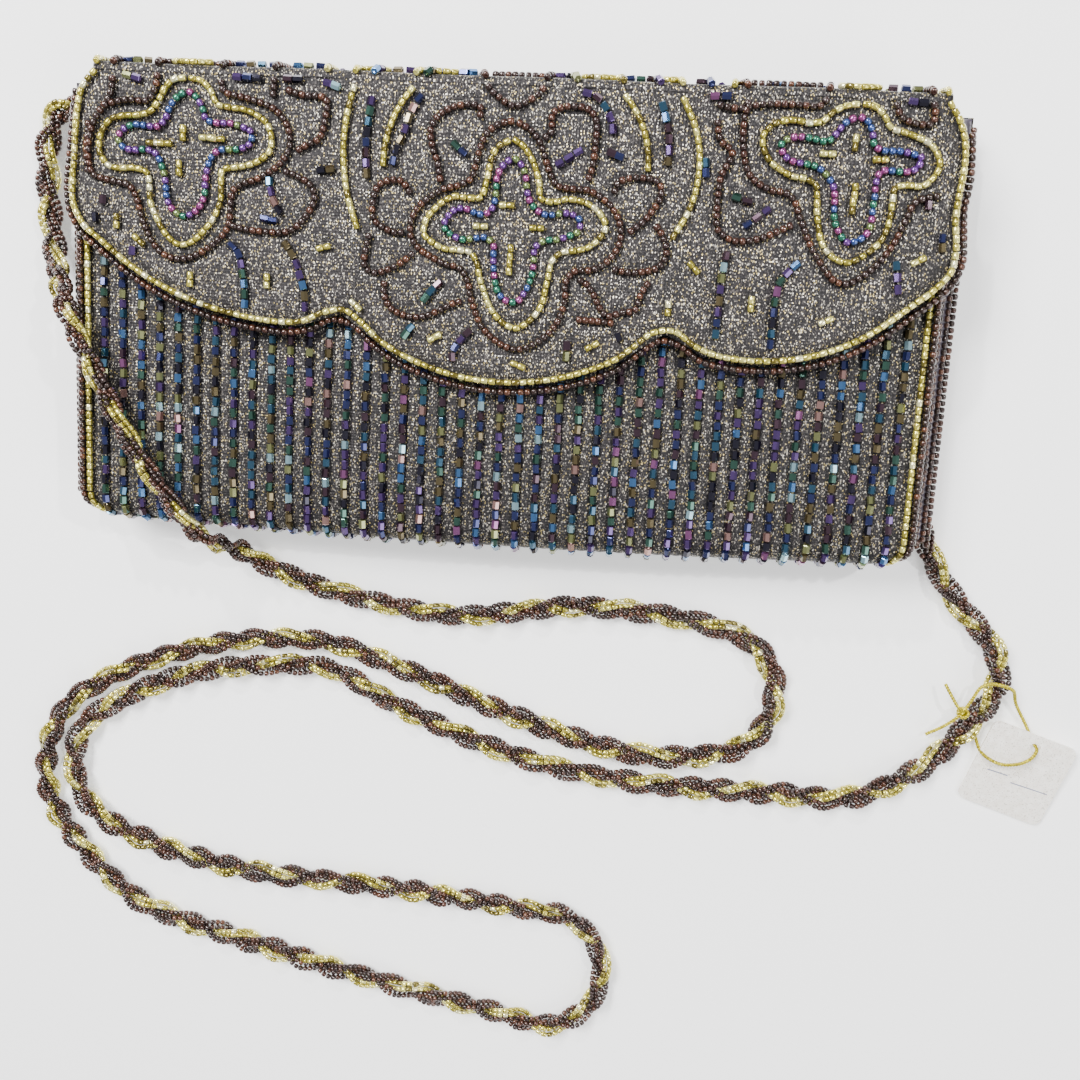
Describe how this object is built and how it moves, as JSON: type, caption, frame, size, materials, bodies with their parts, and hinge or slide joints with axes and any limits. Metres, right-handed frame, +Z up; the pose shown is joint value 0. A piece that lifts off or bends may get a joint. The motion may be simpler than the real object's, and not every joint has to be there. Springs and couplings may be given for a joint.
{
  "type": "clutch purse",
  "caption": "Slim beaded evening clutch with a scalloped flap, bead crosses on lame fabric, a braided bead rope strap and a blank hang tag, lying on its back.",
  "frame": {"origin": "under the middle of the back, on the plane the bag rests on", "axes": "+Z up, out of the front face as the bag lies on its back; +Y up the bag towards the fold of the flap; +X across the bag to the right as seen from the front"},
  "size_m": [0.282, 0.2549, 0.0267],
  "materials": {
    "lame_fabric": "lame knit with fine ribs and metallic specks",
    "edge_fabric": "dark satin weave",
    "satin_lining": "satin",
    "stiffener_board": "uncoated board",
    "gold_beads": "silver-lined gold glass",
    "brown_beads": "copper-lined brown glass",
    "iris_beads": "metallic iris glass",
    "cut_beads": "dark iris hex-cut glass",
    "snap_metal": "nickel plated",
    "tag_card": "speckled uncoated card",
    "tag_cord": "twisted metallic thread"
  },
  "bodies": {
    "root": {"body_cover": "lame_fabric", "back_board": "stiffener_board", "base_board": "stiffener_board", "front_board": "stiffener_board", "body_lining": "satin_lining", "back_beadwork": "cut_beads", "base_beadwork": "cut_beads", "front_beadwork": "cut_beads", "mouth_piping": "edge_fabric", "left_gusset": "edge_fabric", "right_gusset": "edge_fabric", "left_front_gold_row": "gold_beads", "right_front_gold_row": "gold_beads", "left_front_brown_row": "brown_beads", "right_front_brown_row": "brown_beads", "left_back_brown_row": "brown_beads", "right_back_brown_row": "brown_beads", "snap_socket": "snap_metal", "snap_socket_plate": "snap_metal", "strap": "brown_beads", "left_strap_binding": "edge_fabric", "right_strap_binding": "edge_fabric"},
    "spine": {"spine_lining": "satin_lining", "spine_cover": "lame_fabric", "spine_beadwork": "cut_beads"},
    "flap": {"flap_cover": "lame_fabric", "flap_lining": "satin_lining", "flap_board": "stiffener_board", "flap_gold_row": "gold_beads", "flap_brown_row": "brown_beads", "left_cross_gold": "gold_beads", "left_cross_iris": "iris_beads", "left_petal_row": "brown_beads", "centre_cross_gold": "gold_beads", "centre_cross_iris": "iris_beads", "centre_petal_row": "brown_beads", "right_cross_gold": "gold_beads", "right_cross_iris": "iris_beads", "right_petal_row": "brown_beads", "left_outer_arc": "gold_beads", "left_inner_arc": "gold_beads", "right_inner_arc": "gold_beads", "right_outer_arc": "gold_beads", "snap_stud": "snap_metal", "snap_stud_plate": "snap_metal"},
    "cord": {"tag_cord": "tag_cord"},
    "tag": {"tag_card": "tag_card"}
  },
  "joints": [
    {"name": "flap_open", "type": "hinge", "parent": "root", "child": "spine", "pos_m": [0, 0.0534, 0.0048], "axis": [-1, 0, 0], "range_deg": [0, 90]},
    {"name": "flap_fold", "type": "hinge", "parent": "spine", "child": "flap", "pos_m": [0, 0.0534, 0.0212], "axis": [-1, 0, 0], "range_deg": [0, 90]},
    {"name": "tag_lift", "type": "hinge", "parent": "root", "child": "cord", "pos_m": [0.1319, -0.0886, 0.0041], "axis": [-0.3401, -0.9404, 0], "range_deg": [0, 50]},
    {"name": "tag_swivel", "type": "hinge", "parent": "cord", "child": "tag", "pos_m": [0.1451, -0.1016, 0.0023], "axis": [-0.0218, -0.0844, 0.9962], "range_deg": [-15, 25]}
  ],
  "couplings": [
    {"joint": "flap_fold", "follows": "flap_open", "ratio": 1}
  ]
}
